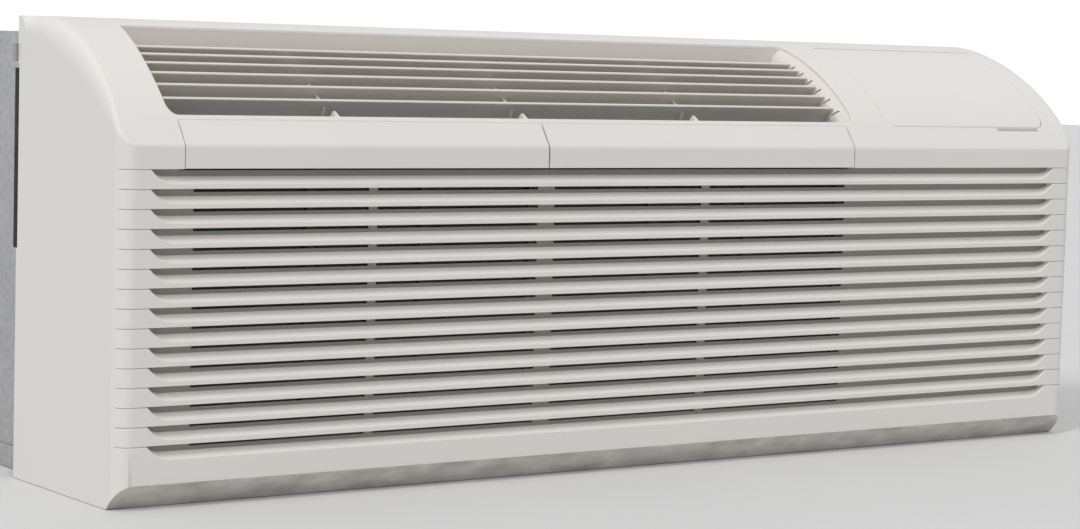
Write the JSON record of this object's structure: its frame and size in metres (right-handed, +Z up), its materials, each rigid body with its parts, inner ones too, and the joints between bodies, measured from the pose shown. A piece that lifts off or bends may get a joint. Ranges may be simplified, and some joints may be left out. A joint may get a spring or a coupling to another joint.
{
  "type": "through-the-wall air conditioner",
  "caption": "Window or wall air conditioner with a wide moulded room-side cover, louvred front, top discharge grille, control door and an open chassis with its refrigerant circuit behind.",
  "frame": {"origin": "on the plane the unit stands on, under the middle of its overall width and depth", "axes": "+X to the right along the width as seen from the room, -Y towards the room, +Z up"},
  "size_m": [1.079, 0.54, 0.393],
  "materials": {
    "cover": "fine-grained satin moulded plastic, warm off-white",
    "grille": "satin moulded plastic, warm off-white",
    "panel": "matt grey",
    "button": "satin light grey",
    "lens": "glossy smoked",
    "filter_mesh": "open woven plastic mesh",
    "foam": "closed-cell foam strip",
    "zinc": "zinc-coated sheet steel, faint spangle",
    "steel": "plain steel",
    "fins": "bare aluminium fins",
    "copper": "drawn copper tube",
    "black_metal": "semi-gloss black paint",
    "black_plastic": "matt black",
    "rubber": "matt black rubber",
    "board": "green lacquered board"
  },
  "bodies": {
    "chassis": {"front_cover": "cover", "discharge_grille": "grille", "door_hinge_pin_left": "steel", "door_hinge_pin_right": "steel", "edge_gasket_left": "foam", "side_brace_left": "zinc", "edge_gasket_right": "foam", "side_brace_right": "zinc", "control_panel": "panel", "display_lens": "lens", "cover_clip": "steel", "control_box": "zinc", "control_box_lid": "zinc", "control_board": "board", "run_capacitor": "steel", "cord_bushing": "rubber", "indoor_coil": "fins", "drain_pan": "black_plastic", "heater_element": "steel", "blower_scroll": "zinc", "blower_bearing": "rubber", "indoor_motor": "black_metal", "bulkhead": "zinc", "vent_pin": "steel", "base_pan": "zinc", "top_brace": "zinc", "outdoor_coil": "fins", "fan_shroud": "zinc", "outdoor_motor": "black_metal", "motor_bracket": "zinc", "compressor": "black_metal", "compressor_foot_1": "rubber", "compressor_foot_2": "rubber", "compressor_foot_3": "rubber", "terminal_cover": "black_plastic", "accumulator": "black_metal", "filter_drier": "copper", "suction_tube": "copper", "discharge_tube": "copper", "liquid_tube": "copper", "capillary_tube": "copper"},
    "door": {"control_door": "cover"},
    "filter_left": {"filter_handle_left": "cover", "filter_frame_left": "black_plastic", "filter_mesh_left": "filter_mesh"},
    "filter_right": {"filter_handle_right": "cover", "filter_frame_right": "black_plastic", "filter_mesh_right": "filter_mesh"},
    "power_button": {"button_power": "button"},
    "cool_button": {"button_cool": "button"},
    "heat_button": {"button_heat": "button"},
    "fan_button": {"button_fan": "button"},
    "temp_up_button": {"button_temp_up": "button"},
    "temp_down_button": {"button_temp_down": "button"},
    "blower": {"blower_wheel": "black_plastic", "blower_shaft": "steel"},
    "fan": {"outdoor_fan": "black_plastic", "fan_shaft": "steel"},
    "vent_flap": {"vent_door": "zinc"},
    "lever": {"vent_lever": "black_plastic"}
  },
  "joints": [
    {"name": "door_swing", "type": "hinge", "parent": "chassis", "child": "door", "pos_m": [0.3976, -0.1465, 0.37945], "axis": [-1, 0, 0], "range_deg": [0, 100]},
    {"name": "filter_left_lift", "type": "slide", "parent": "chassis", "child": "filter_left", "axis": [0, 0, 1], "range_m": [0, 0.24]},
    {"name": "filter_right_lift", "type": "slide", "parent": "chassis", "child": "filter_right", "axis": [0, 0, 1], "range_m": [0, 0.24]},
    {"name": "power_press", "type": "slide", "parent": "chassis", "child": "power_button", "axis": [0, 0.5479, -0.8365], "range_m": [0, 0.0012], "stiffness_N_per_m": 400, "springref_m": -0.001},
    {"name": "cool_press", "type": "slide", "parent": "chassis", "child": "cool_button", "axis": [0, 0.5479, -0.8365], "range_m": [0, 0.0012], "stiffness_N_per_m": 400, "springref_m": -0.001},
    {"name": "heat_press", "type": "slide", "parent": "chassis", "child": "heat_button", "axis": [0, 0.5479, -0.8365], "range_m": [0, 0.0012], "stiffness_N_per_m": 400, "springref_m": -0.001},
    {"name": "fan_press", "type": "slide", "parent": "chassis", "child": "fan_button", "axis": [0, 0.5479, -0.8365], "range_m": [0, 0.0012], "stiffness_N_per_m": 400, "springref_m": -0.001},
    {"name": "temp_up_press", "type": "slide", "parent": "chassis", "child": "temp_up_button", "axis": [0, 0.5479, -0.8365], "range_m": [0, 0.0012], "stiffness_N_per_m": 400, "springref_m": -0.001},
    {"name": "temp_down_press", "type": "slide", "parent": "chassis", "child": "temp_down_button", "axis": [0, 0.5479, -0.8365], "range_m": [0, 0.0012], "stiffness_N_per_m": 400, "springref_m": -0.001},
    {"name": "blower_spin", "type": "hinge", "parent": "chassis", "child": "blower", "pos_m": [-0.115, -0.1295, 0.16], "axis": [1, 0, 0], "continuous": true},
    {"name": "fan_spin", "type": "hinge", "parent": "chassis", "child": "fan", "pos_m": [-0.11, 0.17, 0.152], "axis": [0, 1, 0], "continuous": true},
    {"name": "vent_swing", "type": "hinge", "parent": "chassis", "child": "vent_flap", "pos_m": [0.3, -0.059, 0.331], "axis": [1, 0, 0], "range_deg": [0, 50]},
    {"name": "lever_swing", "type": "hinge", "parent": "chassis", "child": "lever", "pos_m": [0.286, -0.0815, 0.35], "axis": [1, 0, 0], "range_deg": [0, 30]}
  ],
  "couplings": [
    {"joint": "lever_swing", "follows": "vent_swing", "ratio": 0.6}
  ]
}
